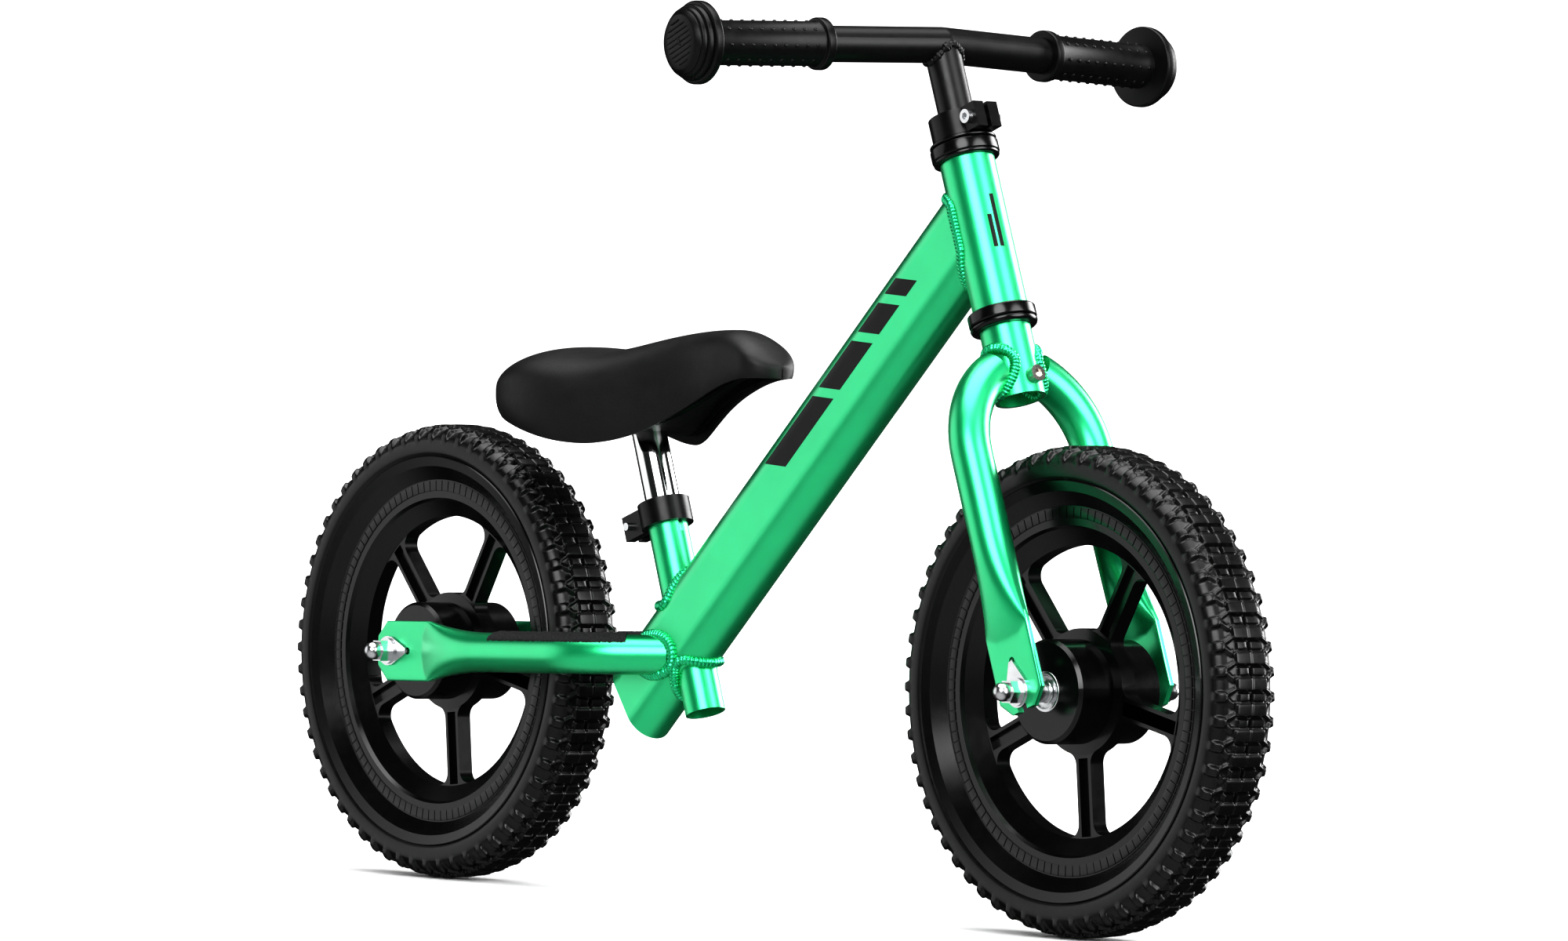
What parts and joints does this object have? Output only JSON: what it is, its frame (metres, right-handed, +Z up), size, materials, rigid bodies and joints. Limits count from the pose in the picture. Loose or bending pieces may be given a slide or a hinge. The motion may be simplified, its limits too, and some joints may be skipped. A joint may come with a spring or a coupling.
{
  "type": "balance bike",
  "caption": "Child's pedal-free balance bike with a low step-through frame, foam-tyred spoked wheels, steering fork, padded saddle and height-adjustable bar and seat.",
  "frame": {"origin": "on the ground, midway between the two wheel contacts", "axes": "+X points forward, the way the bike rolls; +Y to the rider's left; +Z up"},
  "size_m": [0.915, 0.3896, 0.5558],
  "materials": {
    "green_paint": "satin metallic paint",
    "satin_black": "satin black paint",
    "gloss_black_plastic": "moulded gloss black",
    "grip_rubber": "moulded matt rubber",
    "foam_tyre": "moulded EVA foam, satin",
    "post_chrome": "polished chrome",
    "zinc_steel": "bright zinc plate",
    "stainless_steel": "bright steel",
    "grip_strip": "coarse grit",
    "headset_black": "gloss black",
    "clamp_black": "semi-gloss black",
    "saddle_vinyl": "soft matt vinyl",
    "saddle_plastic": "gloss black"
  },
  "bodies": {
    "frame": {"head_tube": "green_paint", "down_tube": "green_paint", "seat_tube": "green_paint", "chainstay_left": "green_paint", "chainstay_right": "green_paint", "foot_grip_left": "grip_strip", "foot_grip_right": "grip_strip", "headset_lower_cup": "headset_black", "headset_upper_cup": "headset_black", "headset_lower_bearing": "stainless_steel", "headset_upper_bearing": "stainless_steel", "seat_clamp": "clamp_black", "seat_clamp_bolt": "zinc_steel", "rear_axle": "zinc_steel", "rear_spacers": "zinc_steel", "rear_tab_washers": "zinc_steel", "rear_washers": "zinc_steel", "rear_axle_nuts": "zinc_steel"},
    "fork": {"fork_steerer": "green_paint", "fork_blade_left": "green_paint", "fork_blade_right": "green_paint", "crown_bolt": "stainless_steel", "crown_nut": "zinc_steel", "headset_crown_race": "headset_black", "headset_top_race": "headset_black", "stem_clamp": "clamp_black", "stem_clamp_bolt": "zinc_steel", "front_axle": "zinc_steel", "front_spacers": "zinc_steel", "front_tab_washers": "zinc_steel", "front_washers": "zinc_steel", "front_axle_nuts": "zinc_steel"},
    "handlebar": {"crossbar": "satin_black", "stem_tube": "satin_black", "grip_left": "grip_rubber", "grip_right": "grip_rubber"},
    "seat": {"seatpost": "post_chrome", "saddle_cover": "saddle_vinyl", "saddle_base": "saddle_plastic"},
    "front_wheel": {"front_tyre": "foam_tyre", "front_rim": "gloss_black_plastic", "front_bearings": "stainless_steel"},
    "rear_wheel": {"rear_tyre": "foam_tyre", "rear_rim": "gloss_black_plastic", "rear_bearings": "stainless_steel"}
  },
  "joints": [
    {"name": "steering", "type": "hinge", "parent": "frame", "child": "fork", "pos_m": [0.31, 0, 0.1475], "axis": [-0.3584, 0, 0.9336], "continuous": true},
    {"name": "handlebar_height", "type": "slide", "parent": "fork", "child": "handlebar", "axis": [-0.3584, 0, 0.9336], "range_m": [-0.02, 0.055]},
    {"name": "front_wheel_spin", "type": "hinge", "parent": "fork", "child": "front_wheel", "pos_m": [0.31, 0, 0.1475], "axis": [0, 1, 0], "continuous": true},
    {"name": "rear_wheel_spin", "type": "hinge", "parent": "frame", "child": "rear_wheel", "pos_m": [-0.31, 0, 0.1475], "axis": [0, 1, 0], "continuous": true},
    {"name": "seat_height", "type": "slide", "parent": "frame", "child": "seat", "axis": [-0.342, 0, 0.9397], "range_m": [-0.028, 0.06]}
  ]
}
